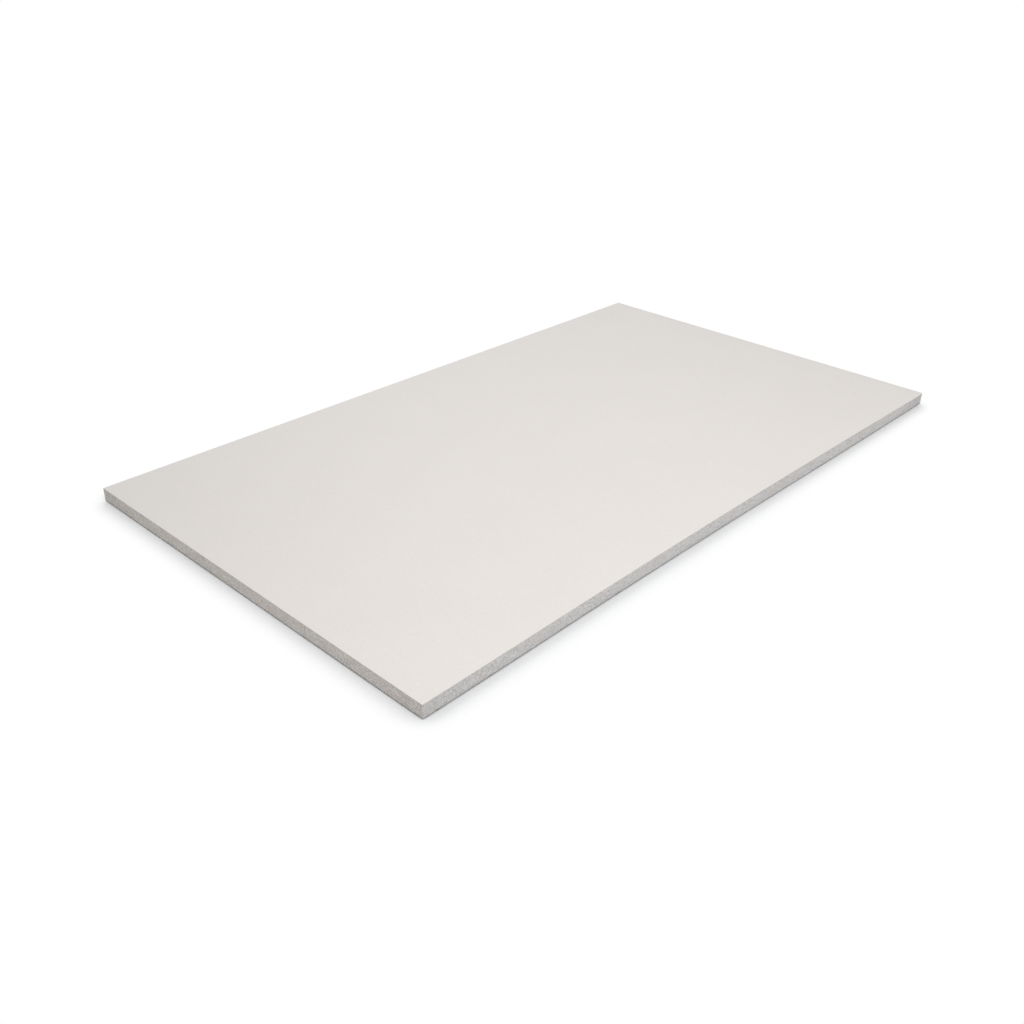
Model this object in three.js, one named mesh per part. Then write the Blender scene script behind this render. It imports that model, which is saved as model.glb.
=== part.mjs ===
// A panel of gypsum wallboard (drywall), lying flat with its face up.
// Millimetres, +Z up. The origin is the centre of the underside, and +X runs along the long edges.
//
// The board is a sandwich: a foamed gypsum core with a sheet of paper bonded to each side. The panel is
// cut out of a larger board on all four sides, so both papers end flush with the core, and every edge
// shows the cut gypsum between them.
import * as THREE from 'three'

// Outline of the panel, cut square.
const panelLength = 762 // along X, 30 in
const panelWidth = 442 // along Y
const cornerRadius = 0.8 // upright corners, their sharpness rubbed off in handling
const cornerFacets = 8 // facets round each corner

// Section through the board, from the underside up.
const boardThickness = 12.7 // over both papers, 1/2 in
const backPaperThickness = 0.4 // grey recycled paper
const facePaperThickness = 0.4 // ivory finish paper
const coreThickness = boardThickness - backPaperThickness - facePaperThickness

const finishes = {
  facePaper: new THREE.MeshStandardMaterial({ color: '#dfdad6', roughness: 0.5, metalness: 0 }),
  gypsum: new THREE.MeshStandardMaterial({ color: '#c9c6c3', roughness: 0.93, metalness: 0 }),
  backPaper: new THREE.MeshStandardMaterial({ color: '#a39a8d', roughness: 0.85, metalness: 0 })
}

// The outline that every layer is cut to: a rectangle with rounded corners, centred on the origin.
// It runs counterclockwise, one corner after the other.
function cutOutline(length, width, radius) {
  const x = length / 2 - radius
  const y = width / 2 - radius
  const cornerCentres = [[x, -y], [x, y], [-x, y], [-x, -y]]
  const outline = new THREE.Shape()
  cornerCentres.forEach(([centreX, centreY], corner) => {
    const startAngle = (corner - 1) * Math.PI / 2
    outline.absarc(centreX, centreY, radius, startAngle, startAngle + Math.PI / 2)
  })
  outline.closePath()
  return outline
}

// One layer of the board, raised from the outline, with its underside at the height `bottom`.
function layer(name, outline, bottom, thickness, finish) {
  const geometry = new THREE.ExtrudeGeometry(outline, {
    depth: thickness,
    bevelEnabled: false,
    curveSegments: cornerFacets / 2 // three.js puts two facets on an arc for each segment
  })
  const mesh = new THREE.Mesh(geometry, finish)
  mesh.name = name
  mesh.position.z = bottom
  return mesh
}

const outline = cutOutline(panelLength, panelWidth, cornerRadius)
const coreBottom = backPaperThickness
const facePaperBottom = coreBottom + coreThickness

const board = new THREE.Group()
board.add(layer('back_paper', outline, 0, backPaperThickness, finishes.backPaper))
board.add(layer('gypsum_core', outline, coreBottom, coreThickness, finishes.gypsum))
board.add(layer('face_paper', outline, facePaperBottom, facePaperThickness, finishes.facePaper))

export default board
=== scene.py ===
# A cut panel of drywall on a white studio floor: two sheets of paper bonded to a gypsum core.
import math
import bpy
from mathutils import Matrix, Vector


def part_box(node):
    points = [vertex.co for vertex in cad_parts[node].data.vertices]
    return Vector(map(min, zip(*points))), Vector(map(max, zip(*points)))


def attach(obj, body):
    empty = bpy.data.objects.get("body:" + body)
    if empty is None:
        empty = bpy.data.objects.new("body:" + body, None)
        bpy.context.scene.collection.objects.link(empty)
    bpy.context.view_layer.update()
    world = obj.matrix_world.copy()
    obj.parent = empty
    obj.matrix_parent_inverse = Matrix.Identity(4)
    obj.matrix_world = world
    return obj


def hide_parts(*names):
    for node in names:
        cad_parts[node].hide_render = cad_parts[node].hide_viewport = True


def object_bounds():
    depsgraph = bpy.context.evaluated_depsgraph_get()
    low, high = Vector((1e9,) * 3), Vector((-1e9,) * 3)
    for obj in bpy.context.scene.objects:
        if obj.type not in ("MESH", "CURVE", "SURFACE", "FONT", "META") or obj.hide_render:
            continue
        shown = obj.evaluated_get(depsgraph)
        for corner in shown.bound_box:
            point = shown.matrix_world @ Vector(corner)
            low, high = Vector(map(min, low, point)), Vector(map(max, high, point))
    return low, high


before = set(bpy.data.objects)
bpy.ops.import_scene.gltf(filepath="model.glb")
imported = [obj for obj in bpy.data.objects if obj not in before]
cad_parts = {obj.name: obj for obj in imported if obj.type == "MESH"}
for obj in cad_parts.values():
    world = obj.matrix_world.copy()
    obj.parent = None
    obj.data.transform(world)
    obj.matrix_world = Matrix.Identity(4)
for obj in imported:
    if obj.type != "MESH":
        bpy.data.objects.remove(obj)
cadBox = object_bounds()
millimetre = 0.001
up = Vector((0, 0, 1))
scene = bpy.context.scene


def linear(hexColour):
    channels = [int(hexColour[i:i + 2], 16) / 255 for i in (1, 3, 5)]
    return tuple(c / 12.92 if c <= 0.04045 else ((c + 0.055) / 1.055) ** 2.4 for c in channels) + (1,)


# One output of a node. Arithmetic on it adds Math nodes to its tree.
class Flow:
    def __init__(self, tree, socket=None):
        self.tree = tree
        self.socket = socket

    def node(self, kind, settings=None, inputs=None, output=0):
        made = self.tree.nodes.new(kind)
        for name, value in (settings or {}).items():
            setattr(made, name, value)
        for name, value in (inputs or {}).items():
            if isinstance(value, Flow):
                self.tree.links.new(value.socket, made.inputs[name])
            else:
                made.inputs[name].default_value = value
        return Flow(self.tree, made.outputs[output] if len(made.outputs) else None)

    def outputs(self):
        return [Flow(self.tree, socket) for socket in self.socket.node.outputs]

    def maths(self, operation, *values, clamp=False):
        settings = {"operation": operation, "use_clamp": clamp}
        return self.node("ShaderNodeMath", settings, dict(enumerate(values)))

    def vector(self, operation, *values, output=0):
        return self.node("ShaderNodeVectorMath", {"operation": operation}, dict(enumerate(values)), output)

    def __add__(self, other):
        return self.maths("ADD", self, other)

    def __sub__(self, other):
        return self.maths("SUBTRACT", self, other)

    def __mul__(self, other):
        return self.maths("MULTIPLY", self, other)

    def __truediv__(self, other):
        return self.maths("DIVIDE", self, other)

    def __radd__(self, other):
        return self.maths("ADD", other, self)

    def __rsub__(self, other):
        return self.maths("SUBTRACT", other, self)

    def __rmul__(self, other):
        return self.maths("MULTIPLY", other, self)

    def __rtruediv__(self, other):
        return self.maths("DIVIDE", other, self)

    def __gt__(self, other):
        return self.maths("GREATER_THAN", self, other)

    def __lt__(self, other):
        return self.maths("LESS_THAN", self, other)

    def absolute(self):
        return self.maths("ABSOLUTE", self)

    def root(self):
        return self.maths("SQRT", self)

    # 0 up to start and 1 from end on, with a soft run between. Start may be the larger.
    def rise(self, start, end):
        return self.node("ShaderNodeMapRange", {"interpolation_type": "SMOOTHSTEP"},
                         {"Value": self, "From Min": start, "From Max": end})

    def separate(self):
        return self.node("ShaderNodeSeparateXYZ", {}, {0: self}).outputs()

    def combine(self, x, y, z):
        return self.node("ShaderNodeCombineXYZ", {}, {0: x, 1: y, 2: z})

    def scaled(self, factor):
        return self.node("ShaderNodeVectorMath", {"operation": "SCALE"}, {0: self, "Scale": factor})

    # Soft random clouds of about this size at a place
    def noise(self, size, detail=2.0, roughness=0.5):
        return self.node("ShaderNodeTexNoise", {},
                         {"Vector": self, "Scale": 1 / size, "Detail": detail, "Roughness": roughness})

    # Distance to the nearest of many scattered points, and two random numbers that belong to that point
    def scatter(self, spacing):
        cells = self.node("ShaderNodeTexVoronoi", {}, {"Vector": self, "Scale": 1 / spacing})
        distance, colour = cells.outputs()[:2]
        return [distance] + colour.separate()[:2]

    def blend(self, factor, first, second, mode="MIX"):
        return self.node("ShaderNodeMix", {"data_type": "RGBA", "blend_type": mode},
                         {0: factor, 6: first, 7: second}, 2)


# The camera stands off the corner at -X -Y, well above the panel, and looks across it.
shot = {
    "heading": 43.388,  # degrees from +X towards +Y
    "dip": 29.597,  # degrees below the horizon
    "roll": -0.76,
    "lens": 37.675,  # in mm, as the sensor is
    "sensor": 36.0,
    "centreRight": 0.04265,  # where the panel's centre lies from the camera, in metres
    "centreBelow": -0.07278,
    "centreAhead": 1.10717,
}


def makeCamera(centre):
    heading, dip, roll = (math.radians(shot[name]) for name in ("heading", "dip", "roll"))
    ahead = Vector((math.cos(dip) * math.cos(heading), math.cos(dip) * math.sin(heading), -math.sin(dip)))
    level = ahead.cross(up).normalized()
    below = ahead.cross(level)
    right = level * math.cos(roll) + below * math.sin(roll)
    down = below * math.cos(roll) - level * math.sin(roll)
    data = bpy.data.cameras.new("camera")
    data.lens = shot["lens"]
    data.sensor_width = shot["sensor"]
    camera = bpy.data.objects.new("camera", data)
    place = centre - right * shot["centreRight"] - down * shot["centreBelow"] - ahead * shot["centreAhead"]
    camera.matrix_world = Matrix.Translation(place) @ Matrix((right, -down, -ahead)).transposed().to_4x4()
    scene.collection.objects.link(camera)
    scene.camera = camera


scene.view_settings.view_transform = "Standard"
makeCamera((cadBox[0] + cadBox[1]) / 2)
print("camera placed")

studio = {
    "floorHalf": 14.0,  # half its side
    "floorGap": 0.6 * millimetre,  # the floor lies this far below the panel
    "litFloor": "#f0f0f0",  # what the floor throws back on the panel
    "seenFloor": "#fdfeff",  # and how it looks beside the panel
    # painted light: the floor that the camera sees glows white over the panel's shadow, as set by the next
    # four values
    "whiteFrom": 2 * millimetre,  # the floor turns plain white between these distances from the panel
    "whiteTo": 22.5 * millimetre,
    "cornerRound": 20 * millimetre,  # as if the panel's corners were this round
    "whiterRight": 0.008,  # and this much sooner for each metre to the right of the middle
    "sky": 0.64,  # strength of its light
    "skyColour": "#ffffff",
}

softboxes = {
    "frontBox": {"place": (-0.52, -1.08, 1.31), "side": 0.6, "power": 6.0, "colour": "#ffffff"},
    "backBox": {"place": (1.5, 1.5, 2.12), "side": 1.8, "power": 15.2, "colour": "#ffffff"},
    "leftBox": {"place": (0.0, 1.5, 2.6), "side": 1.8, "power": 7.6, "colour": "#ffffff"},
}


# 1 for rays from the camera, directly or by way of gloss or glass, and 0 for those that only carry light
def seenRays(start):
    path = {ray.socket.name: ray for ray in start.node("ShaderNodeLightPath").outputs()}
    mirrored = start.maths("MAXIMUM", path["Is Glossy Ray"], path["Is Transmission Ray"])
    return start.maths("MAXIMUM", path["Is Camera Ray"], mirrored)


def makeFloor():
    half = studio["floorHalf"]
    corners = ((-half, -half), (half, -half), (half, half), (-half, half))
    mesh = bpy.data.meshes.new("floor")
    mesh.from_pydata([(x, y, -studio["floorGap"]) for x, y in corners], [], [(0, 1, 2, 3)])
    material = bpy.data.materials.new("floorWhite")
    material.use_nodes = True
    material.node_tree.nodes.clear()
    start = Flow(material.node_tree)
    seen = seenRays(start)
    colour = start.blend(seen, linear(studio["litFloor"]), linear(studio["seenFloor"]))
    lit = start.node("ShaderNodeBsdfDiffuse", {}, {"Color": colour})
    white = start.node("ShaderNodeEmission", {}, {"Color": (1, 1, 1, 1), "Strength": 1.0})
    place = start.node("ShaderNodeTexCoord", {}, {}, "Object")
    rounding = studio["cornerRound"]
    inner = (cadBox[1].x - rounding, cadBox[1].y - rounding, 0)
    beyond = start.vector("SUBTRACT", start.vector("ABSOLUTE", place), inner)
    beyond = start.vector("MULTIPLY", start.vector("MAXIMUM", beyond, (0, 0, 0)), (1, 1, 0))
    away = start.vector("LENGTH", beyond, output="Value") - rounding
    away = away + studio["whiterRight"] * start.maths("MAXIMUM", place.separate()[0], 0)
    far = away.rise(studio["whiteFrom"], studio["whiteTo"])
    # painted light: glowing white is mixed over the floor's shadow away from the panel
    mixed = start.node("ShaderNodeMixShader", {}, {0: seen * far, 1: lit, 2: white})
    start.node("ShaderNodeOutputMaterial", {}, {"Surface": mixed})
    mesh.materials.append(material)
    floor = bpy.data.objects.new("floor", mesh)
    scene.collection.objects.link(floor)


def makeSky():
    world = bpy.data.worlds.new("studio")
    scene.world = world
    world.use_nodes = True
    background = world.node_tree.nodes["Background"]
    start = Flow(world.node_tree)
    seen = seenRays(start)
    plug(background, "Color", start.blend(seen, linear(studio["skyColour"]), (1, 1, 1, 1)))
    plug(background, "Strength", studio["sky"] + (1 - studio["sky"]) * seen)


def makeSoftbox(name, place, side, power, colour):
    lamp = bpy.data.lights.new(name, "AREA")
    lamp.size = side
    lamp.energy = power
    lamp.color = linear(colour)[:3]
    box = bpy.data.objects.new(name, lamp)
    box.location = place
    box.rotation_euler = (-Vector(place)).to_track_quat("-Z", "Y").to_euler()
    scene.collection.objects.link(box)


def plug(shader, name, flow):
    flow.tree.links.new(flow.socket, shader.inputs[name])


makeFloor()
makeSky()
for name, softbox in softboxes.items():
    makeSoftbox(name, **softbox)
print("floor and light set")

socketKinds = {float: "NodeSocketFloat", int: "NodeSocketInt", bpy.types.Material: "NodeSocketMaterial"}
blankMaterial = bpy.data.materials.new("blank")


# An empty Geometry Nodes tree with named inputs, and a Flow for each of them
def newTree(name, inputs, addsTo=False):
    tree = bpy.data.node_groups.new(name, "GeometryNodeTree")
    if addsTo:
        tree.interface.new_socket("Geometry", in_out="INPUT", socket_type="NodeSocketGeometry")
    for label, value in inputs.items():
        socket = tree.interface.new_socket(label, in_out="INPUT", socket_type=socketKinds[type(value)])
        socket.default_value = value
    tree.interface.new_socket("Geometry", in_out="OUTPUT", socket_type="NodeSocketGeometry")
    entry = tree.nodes.new("NodeGroupInput")
    return tree, {socket.name: Flow(tree, socket) for socket in entry.outputs if socket.name}


def finishTree(tree, geometry):
    leave = tree.nodes.new("NodeGroupOutput")
    tree.links.new(geometry.socket, leave.inputs["Geometry"])
    return tree


def joined(*parts):
    join = parts[0].tree.nodes.new("GeometryNodeJoinGeometry")
    for part in parts:
        part.tree.links.new(part.socket, join.inputs[0])
    return Flow(parts[0].tree, join.outputs[0])


# The geometry as real faces that wear the material
def plain(geometry, material):
    solid = geometry.node("GeometryNodeRealizeInstances", {}, {"Geometry": geometry})
    return geometry.node("GeometryNodeSetMaterial", {}, {"Geometry": solid, "Material": material})


def named(start, name, kind="FLOAT_VECTOR"):
    return start.node("GeometryNodeInputNamedAttribute", {"data_type": kind}, {"Name": name})


def store(geometry, name, value, kind="FLOAT_VECTOR", domain="POINT"):
    return geometry.node("GeometryNodeStoreNamedAttribute", {"data_type": kind, "domain": domain},
                         {"Geometry": geometry, "Name": name, "Value": value})


panel = {
    "Corner Radius": 0.8 * millimetre,
    "Blunt Radius": 3.4 * millimetre,  # of the corner at +X -Y, which is rubbed round
    "Hollow": 2.95 * millimetre,  # how far the near long edge is cut in at its middle
    "Wander": 0.2 * millimetre,  # slow wobble of the knife
    "Wander Size": 14 * millimetre,
    "Thickness": cadBox[1].z - cadBox[0].z,
    # The near long edge isn't cut square:
    "Foot Out": 0.65 * millimetre,  # its foot stands out past the middle
    "Foot In": 1.1 * millimetre,  # and lies in at the right end
}

# The inputs of the cut line, with the values that its trees start from
outline = {
    "Length": 0.7,
    "Width": 0.4,
    "Corner Radius": 0.002,
    "Blunt Radius": 0.002,
    "Hollow": 0.0,
    "Wander": 0.0,
    "Wander Size": 0.01,
    "Thickness": 0.01,
    "Foot Out": 0.0,
    "Foot In": 0.0,
    "Step": 0.001,
}

# The finer shape of the line. Places along a long edge run from -1 at its left end to 1 at its right.
cutShape = {
    "cornerSteps": 12,
    "hollowPower": 1.5,  # a larger one gathers the hollow at the middle
    "leanOut": (-0.6, 0.25),  # between these places the foot comes to stand out
    "leanIn": (0.4, 1.05),  # and between these to lie in
    "facingNear": (0.75, 1.0),  # only where the cut faces -Y, from partly to squarely
}


# The line that the panel is cut along: a closed curve at height 0 whose points know which way is out
def buildCutLine():
    tree, size = newTree("cutLine", outline)
    start = Flow(tree)
    line = start.node("GeometryNodeCurvePrimitiveQuadrilateral", {"mode": "RECTANGLE"},
                      {"Width": size["Length"], "Height": size["Width"]})
    x, y = start.node("GeometryNodeInputPosition").separate()[:2]
    blunt = (x > 0) * (y < 0)
    radius = size["Corner Radius"] + (size["Blunt Radius"] - size["Corner Radius"]) * blunt
    line = start.node("GeometryNodeFilletCurve", {"mode": "POLY"},
                      {"Curve": line, "Count": cutShape["cornerSteps"], "Radius": radius})
    line = start.node("GeometryNodeResampleCurve", {"mode": "LENGTH"},
                      {"Curve": line, "Length": size["Step"]})
    fromMiddle = x * 2 / size["Length"]
    bow = 1 - fromMiddle * fromMiddle
    inward = size["Hollow"] * start.maths("POWER", bow, cutShape["hollowPower"]) * (y < 0)
    line = start.node("GeometryNodeSetPosition", {},
                      {"Geometry": line, "Offset": start.combine(0, inward, 0)})
    tangent = start.node("GeometryNodeInputTangent")
    outward = start.vector("NORMALIZE", start.vector("CROSS_PRODUCT", tangent, tuple(up)))
    line = store(line, "outward", outward)
    line = store(line, "along", tangent)
    facing = (0 - outward.separate()[1]).rise(*cutShape["facingNear"])
    lean = size["Foot Out"] * fromMiddle.rise(*cutShape["leanOut"])
    lean = lean - (size["Foot Out"] + size["Foot In"]) * fromMiddle.rise(*cutShape["leanIn"])
    line = store(line, "lean", lean * facing, "FLOAT")
    place = start.node("GeometryNodeInputPosition")
    wobble = size["Wander"] * place.noise(size["Wander Size"], detail=3.0)
    line = start.node("GeometryNodeSetPosition", {},
                      {"Geometry": line, "Offset": named(start, "outward").scaled(0 - wobble)})
    return finishTree(tree, store(line, "rim", place))


# What a cut through one layer looks like. Each piece below sets its own values.
cutInputs = {
    **outline,
    "Low": 0.0,
    "High": 0.01,
    "Rows": 8,
    "Low Arris": 0.0001,  # radius that the lower arris is eased to
    "High Arris": 0.0001,
    "Set Back": 0.0,
    "Grain": 0.0,  # roughness of the cut face
    "Grain Size": 0.0022,
    "Void Depth": 0.0,  # air bubbles that the cut opens
    "Void Spacing": 0.0034,
    "Void Share": 0.5,
    "Nick Depth": 0.0,  # chips along both arrises
    "Nick Reach": 0.0022,
    "Nick Size": 0.007,
    "Corner Wear": 0.0,  # how far the corners are rubbed away at Low
    "Corner Wear High": 0.0,
    "Corner Reach": 0.01,
    "Seed": 0.0,
    "Material": blankMaterial,
}

# The finer shape of the marks on a cut face
cutMarks = {
    "smallestVoid": 0.08,  # its radius, in shares of the spacing
    "voidRange": 0.26,  # and how much more the largest has
    "voidFloor": 0.35,  # share of its radius where a void is at its deepest
    "chipping": (0.6, 0.72),  # an arris chips where its noise climbs through these levels
    "leastWear": 0.6,  # share of the wear that a corner has even where noise adds none
}
weldDistance = 0.002 * millimetre


# How far the cut face lies inside the cut line at a place on it, and how much of that is an air void
def cutDepth(size, place):
    x, y, z = place.separate()
    fromLow = z - size["Low"]
    fromHigh = size["High"] - z

    def eased(distance, radius):
        near = place.maths("SUBTRACT", 1, distance / radius, clamp=True)
        return radius * (1 - (1 - near * near).root())

    besideX = size["Length"] / 2 - x.absolute()
    besideY = size["Width"] / 2 - y.absolute()
    fromCorner = (besideX * besideX + besideY * besideY).root()
    atCorner = place.maths("SUBTRACT", 1, fromCorner / size["Corner Reach"], clamp=True)
    seeded = place.vector("ADD", place, place.combine(0, 0, size["Seed"]))
    distance, likes, widths = seeded.scatter(size["Void Spacing"])
    radius = cutMarks["smallestVoid"] + cutMarks["voidRange"] * widths * widths
    void = distance.rise(radius, radius * cutMarks["voidFloor"])
    void = void * (likes < size["Void Share"]) * (1 - atCorner)
    nearArris = fromLow.rise(size["Nick Reach"], 0.0) + fromHigh.rise(size["Nick Reach"], 0.0)
    nick = nearArris * seeded.noise(size["Nick Size"]).rise(*cutMarks["chipping"]) * (1 - atCorner)
    upShare = fromLow / (size["High"] - size["Low"])
    wear = size["Corner Wear"] + (size["Corner Wear High"] - size["Corner Wear"]) * upShare.root()
    depth = size["Set Back"] + eased(fromLow, size["Low Arris"]) + eased(fromHigh, size["High Arris"])
    depth = depth + size["Grain"] * seeded.noise(size["Grain Size"])
    depth = depth + size["Void Depth"] * void + size["Nick Depth"] * nick
    rubbed = cutMarks["leastWear"] + place.noise(size["Grain Size"] * 2)
    return depth + wear * atCorner * atCorner * rubbed, void


# The place at this height on the cut, this far inside the cut line
def onCut(start, size, height, depth):
    lean = named(start, "lean", "FLOAT") * (1 - height / size["Thickness"])
    above = start.vector("ADD", named(start, "rim"), start.combine(0, 0, height))
    return start.vector("SUBTRACT", above, named(start, "outward").scaled(depth - lean))


# One layer of the board, from Low to High, cut off along the cut line
def buildLayer(cutLine):
    tree, size = newTree("boardLayer", cutInputs)
    start = Flow(tree)
    line = start.node("GeometryNodeGroup", {"node_tree": cutLine}, {name: size[name] for name in outline})
    section = start.node("GeometryNodeCurvePrimitiveLine", {}, {"End": (0, 1, 0)})
    section = start.node("GeometryNodeResampleCurve", {"mode": "COUNT"},
                         {"Curve": section, "Count": size["Rows"]})
    section = store(section, "share", start.node("GeometryNodeSplineParameter"), "FLOAT")
    wall = start.node("GeometryNodeCurveToMesh", {}, {"Curve": line, "Profile Curve": section})
    height = size["Low"] + (size["High"] - size["Low"]) * named(start, "share", "FLOAT")

    def cut(geometry, height):
        place = start.vector("ADD", named(start, "rim"), start.combine(0, 0, height))
        depth, void = cutDepth(size, place)
        geometry = start.node("GeometryNodeSetPosition", {},
                              {"Geometry": geometry, "Position": onCut(start, size, height, depth)})
        return store(geometry, "void", void, "FLOAT")

    def shaded(mesh, smooth):
        return start.node("GeometryNodeSetShadeSmooth", {}, {"Geometry": mesh, "Shade Smooth": smooth})

    def lid(height):
        face = start.node("GeometryNodeFillCurve", {"mode": "TRIANGLES"}, {"Curve": cut(line, height)})
        return shaded(start.node("GeometryNodeTransform", {},
                                 {"Geometry": face, "Translation": start.combine(0, 0, height)}), False)

    wall = shaded(start.node("GeometryNodeFlipFaces", {}, {"Mesh": cut(wall, height)}), True)
    wall = store(wall, "cutFace", 1.0, "FLOAT", "FACE")
    bottom = start.node("GeometryNodeFlipFaces", {}, {"Mesh": lid(size["Low"])})
    solid = start.node("GeometryNodeMergeByDistance", {},
                       {"Geometry": joined(wall, bottom, lid(size["High"])), "Distance": weldDistance})
    return finishTree(tree, plain(solid, size["Material"]))


# Short torn fibres that lie on the cut along one sheet of paper
fuzzInputs = {
    **outline,
    "Level": 0.01,  # height that the fibres grow from
    "Set Back": 0.0002,
    "Share": 0.5,  # of the steps along the cut line that carry a fibre
    "Shortest": 0.0005,
    "Longest": 0.002,
    "Radius": 0.00002,
    "Bulge": 0.15,  # for a fibre of length 1
    "Bulge At": 0.45,  # along that fibre
    "Roll": 0.6,  # radians to either side
    "Lowest Slope": -1.0,
    "Highest Slope": 0.0,
    "Seed": 0,
    "Material": blankMaterial,
}


def buildFuzz(cutLine):
    tree, size = newTree("paperFuzz", fuzzInputs, addsTo=True)
    start = Flow(tree)
    line = start.node("GeometryNodeGroup", {"node_tree": cutLine}, {name: size[name] for name in outline})
    curve = start.node("GeometryNodeCurveQuadraticBezier", {}, {
        "Resolution": 4, "Start": (0, 0, 0), "Middle": start.combine(size["Bulge At"], size["Bulge"], 0),
        "End": (1, 0, 0)})
    section = start.node("GeometryNodeCurvePrimitiveCircle", {"mode": "RADIUS"},
                         {"Resolution": 3, "Radius": size["Radius"] / size["Longest"]})
    fibre = start.node("GeometryNodeCurveToMesh", {},
                       {"Curve": curve, "Profile Curve": section, "Fill Caps": True})

    def random(low, high, step):
        return start.node("FunctionNodeRandomValue", {"data_type": "FLOAT"},
                          {2: low, 3: high, "Seed": size["Seed"] + step}, 1)

    x, y = start.node("GeometryNodeInputPosition").separate()[:2]
    clear = size["Corner Radius"] + size["Longest"]
    fromCorner = start.maths("MAXIMUM", size["Length"] / 2 - x.absolute(), size["Width"] / 2 - y.absolute())
    chosen = (random(0.0, 1.0, 1) < size["Share"]) * (fromCorner > clear)
    line = start.node("GeometryNodeSetPosition", {},
                      {"Geometry": line, "Position": onCut(start, size, size["Level"], size["Set Back"])})
    reverse = random(0.0, 1.0, 2) > 0.5
    roll = math.pi * (1 - reverse) + random(0 - size["Roll"], size["Roll"], 3)
    slope = 0 - random(size["Lowest Slope"], size["Highest Slope"], 4)
    lean = start.combine(roll, slope, math.pi * reverse)
    frameTurn = start.node("FunctionNodeAxesToRotation", {"primary_axis": "Z", "secondary_axis": "X"},
                           {"Primary Axis": tuple(up), "Secondary Axis": named(start, "along")})
    turn = start.node("FunctionNodeRotateRotation", {"rotation_space": "LOCAL"}, {
        "Rotation": frameTurn, "Rotate By": start.node("FunctionNodeEulerToRotation", {}, {0: lean})})
    fibres = start.node("GeometryNodeInstanceOnPoints", {}, {
        "Points": line, "Selection": chosen, "Instance": fibre, "Rotation": turn,
        "Scale": random(size["Shortest"], size["Longest"], 5)})
    return finishTree(tree, joined(size["Geometry"], plain(fibres, size["Material"])))


# Runs trees one after the other, each with its inputs, and keeps the result as a plain mesh
def grow(name, steps):
    host = bpy.data.objects.new("host", bpy.data.meshes.new("host"))
    scene.collection.objects.link(host)
    for tree, values in steps:
        modifier = host.modifiers.new(tree.name, "NODES")
        modifier.node_group = tree
        for item in tree.interface.items_tree:
            if item.in_out == "INPUT" and item.name in values:
                modifier[item.identifier] = values[item.name]
    mesh = bpy.data.meshes.new_from_object(host.evaluated_get(bpy.context.evaluated_depsgraph_get()))
    bpy.data.objects.remove(host)
    mesh.name = name
    mesh.materials.clear()
    mesh.materials.append(steps[0][1]["Material"])
    piece = bpy.data.objects.new(name, mesh)
    scene.collection.objects.link(piece)
    return piece


# The steps that make a layer in the place of a CAD node: its cut, and its torn fibres if it has any
def layerSteps(node, look, material):
    low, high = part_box(node)
    sizes = {"Length": high.x - low.x, "Width": high.y - low.y, "Low": low.z, "High": high.z, **panel}
    steps = [(layerTree, {**sizes, **look["cut"], "Material": material})]
    if "fuzz" in look:
        steps.append((fuzzTree, {**sizes, **look["fuzz"], "Material": material}))
    return steps


# Hands a finished piece to the frame, in the place of its CAD node
def keepPiece(piece, node):
    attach(piece, "root")
    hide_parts(node)
    print(piece.name, len(piece.data.polygons), "faces")


# A material with a Principled shader, and the place on the piece to draw its pattern at
def newMaterial(name, look):
    material = bpy.data.materials.new(name)
    material.use_nodes = True
    shader = material.node_tree.nodes["Principled BSDF"]
    shader.inputs["Specular IOR Level"].default_value = look["gloss"]
    start = Flow(material.node_tree)
    return material, shader, start, start.node("ShaderNodeTexCoord", {}, {}, "Object")


def grey(shade):
    return shade.combine(shade, shade, shade)


def surfaceValue(start, name):
    return start.node("ShaderNodeAttribute", {"attribute_name": name}, {}, "Fac")


def bumped(look, relief):
    sizes = {"Strength": look["bumpStrength"], "Distance": look["bumpHeight"], "Height": relief}
    return relief.node("ShaderNodeBump", {}, sizes, "Normal")


# Fine curled lines, 1 on a line and 0 away from it
def strands(place, size, width):
    return (place.noise(size, detail=1.5) * 2 - 1).absolute().rise(width, 0.0)


# The slow change of tone over the whole board: 1 in its middle, and more or less away from it
def drift(place, x=0.0, y=0.0, xx=0.0, xy=0.0):
    placeX, placeY = place.separate()[:2]
    return 1 + placeX * (x + xx * placeX) + placeY * (y + xy * placeX)


# What the pulp of both papers has in common
pulp = {
    "lines": 0.4,  # strength of the curled lines beside the felt's
    "lineWidths": (0.05, 0.03),  # of those along the board and those across it
    "fleckCore": 0.4,  # share of a fleck's size that is solid
    "lineRelief": 0.35,
    "fleckRelief": 0.4,
}


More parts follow.
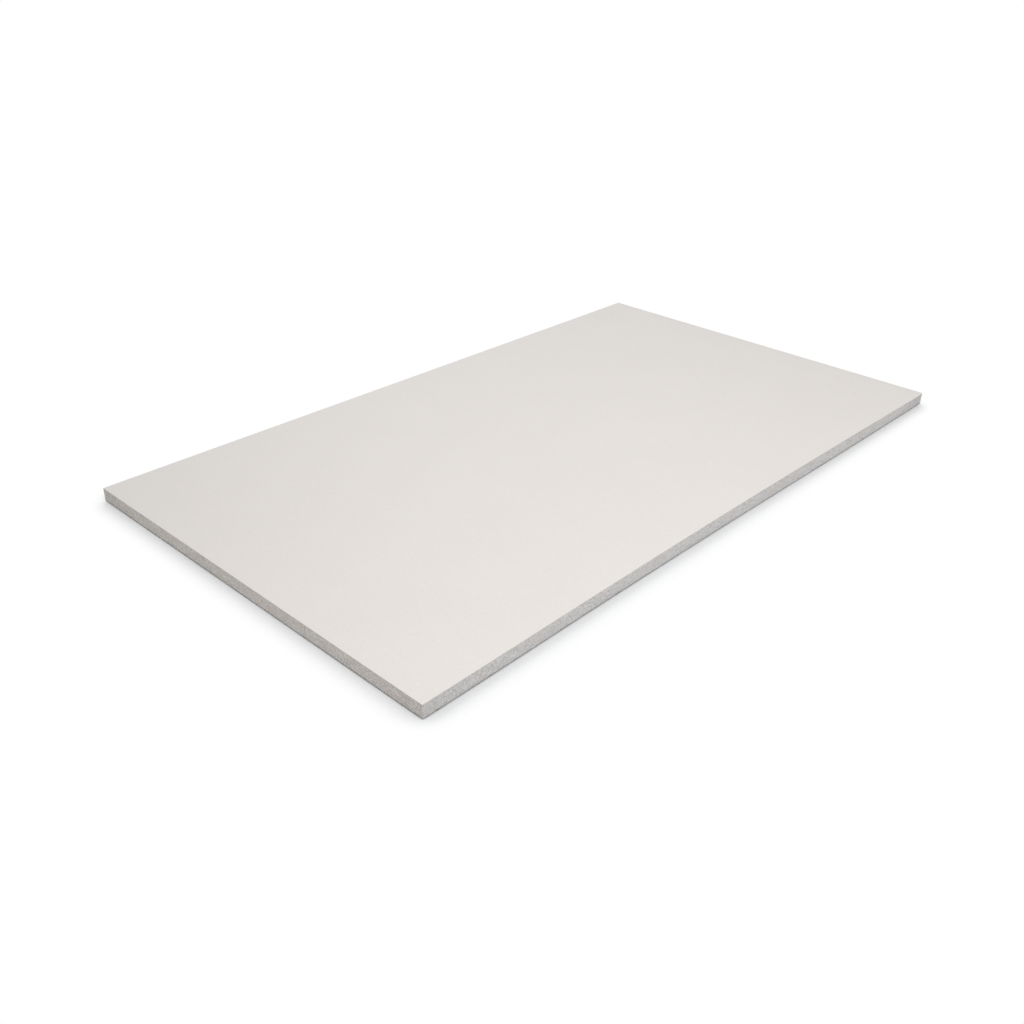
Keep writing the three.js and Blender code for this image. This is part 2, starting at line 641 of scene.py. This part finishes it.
# Paper: pulp in soft clouds, a felt of fibres laid mostly along the board, and flecks.
# Its cut edge has a colour of its own.
def paperMaterial(name, look):
    material, shader, start, place = newMaterial(name, look)
    laid = start.vector("MULTIPLY", place, (look["grainRun"], 1, 1))
    across = start.vector("MULTIPLY", place, (1, look["grainRun"], 1))
    cloud = place.noise(look["cloudSize"], detail=3.0) - 0.5
    felt = laid.noise(look["fibreSize"], detail=4.0, roughness=0.65) - 0.5
    wide, thin = pulp["lineWidths"]
    lines = strands(laid, look["fibreSize"] * 2, wide) + strands(across, look["fibreSize"] * 3, thin)
    # painted light: on both papers the drift paints the board paler or darker by place, where the light
    # falls more or less
    shade = drift(place, **look["drift"]) + look["cloud"] * cloud
    shade = shade + look["fibre"] * (felt + pulp["lines"] * lines)
    distance, likes = laid.scatter(look["fleckSpacing"])[:2]
    fleck = distance.rise(look["fleckSize"], look["fleckSize"] * pulp["fleckCore"])
    fleck = fleck * (likes < look["fleckShare"])
    colour = start.blend(fleck * look["fleckStrength"], linear(look["colour"]), linear(look["fleckColour"]))
    edge = surfaceValue(start, "cutFace")
    colour = start.blend(edge, colour, linear(look["edgeColour"]))
    plug(shader, "Base Color", start.blend(1.0, colour, grey(shade), "MULTIPLY"))
    dull = look["roughness"] + look["unevenGloss"] * (felt - cloud)
    plug(shader, "Roughness", dull + look["edgeRougher"] * edge)
    plug(shader, "Normal", bumped(look, felt + pulp["lineRelief"] * lines + pulp["fleckRelief"] * fleck))
    return material


# How far a place is from the nearest of the board's four corners
def cornerDistance(place):
    return place.vector("DISTANCE", place.vector("ABSOLUTE", place), tuple(cadBox[1]), output="Value")


# Cut gypsum: plaster crystals, lines scored along the cut, pale lumps, and pores, pin holes and voids
# painted darker as shade, with a tan tint in places and painted warm light that makes the short edges
# tanner and darker
def gypsumMaterial(name, look):
    material, shader, start, place = newMaterial(name, look)
    mottle = place.noise(look["mottleSize"], detail=4.0, roughness=0.65) - 0.5
    crystal = place.noise(look["crystalSize"], detail=5.0, roughness=0.68) - 0.5
    drawn = start.vector("MULTIPLY", place, (look["scoreRun"], look["scoreRun"], 1))
    scored = drawn.noise(look["scoreSize"], detail=3.0) - 0.5
    blotch = place.noise(look["blotchSize"]) - 0.5
    distance, likes, widths = place.scatter(look["poreSpacing"])
    widest = look["smallestPore"] + look["poreRange"] * widths
    pore = distance.rise(widest, look["poreCore"]) * (likes < look["poreShare"])
    lump = distance.rise(look["lumpRim"], look["lumpCore"]) * (likes > 1 - look["lumpShare"])
    distance, likes, widths = place.scatter(look["pinholeSpacing"])
    widest = look["smallestPinhole"] + look["pinholeRange"] * widths * widths
    pinhole = distance.rise(widest, look["pinholeCore"]) * (likes < look["pinholeShare"])
    outward = start.node("ShaderNodeAttribute", {"attribute_name": "outward"}, {}, "Vector")
    atEnd = outward.separate()[0].absolute()
    shade = drift(place, **look["drift"]) + look["mottle"] * mottle
    shade = shade + look["crystal"] * (1 + look["endCoarser"] * atEnd) * crystal
    shade = shade - look["cornerDarker"] * cornerDistance(place).rise(look["cornerDarkerReach"], 0.0)
    shade = shade + look["score"] * scored + look["blotch"] * blotch + look["lump"] * lump
    pore = place.maths("MAXIMUM", pore, pinhole)
    # painted shade: pores, pin holes and the cut's voids are darkened as if their hollows were in shade
    shade = shade - look["pore"] * pore - look["void"] * surfaceValue(start, "void")
    tan = look["tan"] * place.noise(look["tanSize"], detail=3.0).rise(*look["tanLevels"])
    # painted light: the short edges are tinted tan and darker by the way they face
    colour = start.blend(tan + look["endPaintedWarmth"] * atEnd, linear(look["colour"]), linear(look["tanColour"]))
    plug(shader, "Base Color", start.blend(1.0, colour, grey(shade), "MULTIPLY"))
    plug(shader, "Roughness", look["roughness"] + look["unevenGloss"] * mottle)
    relief = mottle + look["crystalRelief"] * crystal + look["scoreRelief"] * scored
    plug(shader, "Normal", bumped(look, relief - look["poreRelief"] * pore))
    return material


cutLine = buildCutLine()
layerTree = buildLayer(cutLine)
fuzzTree = buildFuzz(cutLine)
print("cut line, layer and fuzz trees built")

facePaper = {
    "colour": "#e0dbd7",
    "edgeColour": "#c9c3bb",
    "gloss": 0.5,
    "roughness": 0.5,
    "unevenGloss": 0.05,
    "edgeRougher": 0.35,
    # painted light: the face paper is painted paler towards the near long edge and darker towards both
    # ends, as the light falls
    "drift": {"x": -0.045, "y": -0.23, "xx": -0.29, "xy": 0.24},  # in shares for each metre, or its square
    "grainRun": 0.35,
    "cloudSize": 60 * millimetre,
    "cloud": 0.02,
    "fibreSize": 1.1 * millimetre,
    "fibre": 0.1,
    "fleckSpacing": 11 * millimetre,
    "fleckSize": 0.03,  # share of the spacing
    "fleckShare": 0.3,
    "fleckStrength": 0.22,
    "fleckColour": "#9a9088",
    "bumpStrength": 0.3,
    "bumpHeight": 0.05 * millimetre,
    "cut": {
        "Step": 0.6 * millimetre, "Rows": 6, "Seed": 1.0, "Set Back": 0.08 * millimetre,
        "High Arris": 0.22 * millimetre, "Low Arris": 0.03 * millimetre,
        "Grain": 0.14 * millimetre, "Grain Size": 1.6 * millimetre,
        "Corner Wear": 0.12 * millimetre, "Corner Wear High": 0.1 * millimetre,
        "Corner Reach": 4 * millimetre,
    },
    "fuzz": {
        "Step": 0.8 * millimetre, "Share": 0.45, "Seed": 11,
        "Level": 12.45 * millimetre, "Set Back": 0.2 * millimetre,
        "Shortest": 0.5 * millimetre, "Longest": 1.9 * millimetre, "Radius": 0.045 * millimetre,
        "Lowest Slope": -1.1, "Highest Slope": 0.04,
    },
}

steps = layerSteps("face_paper", facePaper, paperMaterial("ivoryPaper", facePaper))
keepPiece(grow("facePaperSheet", steps), "face_paper")

gypsumCore = {
    "colour": "#cdcccb",
    "tanColour": "#c8bbad",
    "gloss": 0.3,
    "roughness": 0.93,
    "unevenGloss": 0.1,
    "mottleSize": 2.2 * millimetre,
    "mottle": 0.08,
    "crystalSize": 1.2 * millimetre,
    "crystal": 1.65,
    "endCoarser": 0.1,  # stronger by this share on the short edges
    "scoreRun": 0.15,
    "scoreSize": 0.9 * millimetre,
    "score": 0.45,
    "blotchSize": 14 * millimetre,
    "blotch": 0.05,
    "tanSize": 12 * millimetre,
    "tanLevels": (0.46, 0.66),  # it sets in where its noise climbs through these
    "tan": 0.16,
    # painted warm light: the short edges, by the way they face, get more of the tan colour and come out
    # warmer and darker
    "endPaintedWarmth": 0.32,  # more on the short edges
    "drift": {"x": 0.05, "y": -0.17, "xx": -0.05},
    "cornerDarker": 0.08,  # the corners are this much darker
    "cornerDarkerReach": 60 * millimetre,
    "poreSpacing": 2.1 * millimetre,
    "poreShare": 0.3,
    "smallestPore": 0.08,  # radii of pores, lumps and pin holes in shares of their spacing
    "poreRange": 0.14,
    "poreCore": 0.04,
    "pinholeSpacing": 0.9 * millimetre,
    "pinholeShare": 0.2,
    "smallestPinhole": 0.05,
    "pinholeRange": 0.3,
    "pinholeCore": 0.02,
    # painted shade in the hollows of pores and pin holes:
    "pore": 0.22,  # how much darker pores and pin holes are
    "lumpShare": 0.12,
    "lumpRim": 0.34,
    "lumpCore": 0.1,
    "lump": 0.06,  # how much paler lumps are
    # painted shade in the hollows of the cut's voids:
    "void": 0.2,  # how much darker the voids of the cut are
    "bumpStrength": 0.6,
    "bumpHeight": 0.3 * millimetre,
    "crystalRelief": 0.5,
    "scoreRelief": 0.6,
    "poreRelief": 0.8,
    "cut": {
        "Step": 0.56 * millimetre, "Rows": 22, "Seed": 2.0, "Set Back": 0.05 * millimetre,
        "High Arris": 0.1 * millimetre, "Low Arris": 0.17 * millimetre,
        "Grain": 0.2 * millimetre, "Grain Size": 2.2 * millimetre,
        "Void Depth": 0.35 * millimetre, "Void Spacing": 3.4 * millimetre, "Void Share": 0.3,
        "Nick Depth": 0.3 * millimetre, "Nick Reach": 1.6 * millimetre, "Nick Size": 6 * millimetre,
        "Corner Wear": 0.1 * millimetre, "Corner Wear High": 0.1 * millimetre,
        "Corner Reach": 4.5 * millimetre,
    },
}

steps = layerSteps("gypsum_core", gypsumCore, gypsumMaterial("cutGypsum", gypsumCore))
keepPiece(grow("gypsumCoreBlock", steps), "gypsum_core")

backPaper = {
    "colour": "#9a9691",
    "edgeColour": "#adb1b5",
    "gloss": 0.35,
    "roughness": 0.85,
    "unevenGloss": 0.06,
    "edgeRougher": 0.1,
    # painted light: the back paper, and with it the dark line at the foot of the cut, is painted paler
    # towards the right end and the near edge, where the shade under the foot is lighter
    "drift": {"x": 0.25, "y": -0.15, "xx": 0.4},
    "grainRun": 0.4,
    "cloudSize": 18 * millimetre,
    "cloud": 0.12,
    "fibreSize": 1.4 * millimetre,
    "fibre": 0.2,
    "fleckSpacing": 3.5 * millimetre,
    "fleckSize": 0.12,
    "fleckShare": 0.4,
    "fleckStrength": 0.6,
    "fleckColour": "#5f584f",
    "bumpStrength": 0.5,
    "bumpHeight": 0.1 * millimetre,
    "cut": {
        "Step": 0.6 * millimetre, "Rows": 6, "Seed": 3.0, "Set Back": 0.0,
        "High Arris": 0.03 * millimetre, "Low Arris": 0.04 * millimetre,
        "Grain": 0.12 * millimetre, "Grain Size": 1.6 * millimetre,
        "Corner Wear": 0.12 * millimetre, "Corner Wear High": 0.1 * millimetre,
        "Corner Reach": 4.5 * millimetre,
    },
    "fuzz": {
        "Step": 0.8 * millimetre, "Share": 0.4, "Seed": 31,
        "Level": 0.25 * millimetre, "Set Back": 0.2 * millimetre,
        "Shortest": 0.5 * millimetre, "Longest": 1.9 * millimetre, "Radius": 0.045 * millimetre,
        "Lowest Slope": -0.04, "Highest Slope": 0.9,
    },
}

steps = layerSteps("back_paper", backPaper, paperMaterial("greyPaper", backPaper))
keepPiece(grow("backPaperSheet", steps), "back_paper")
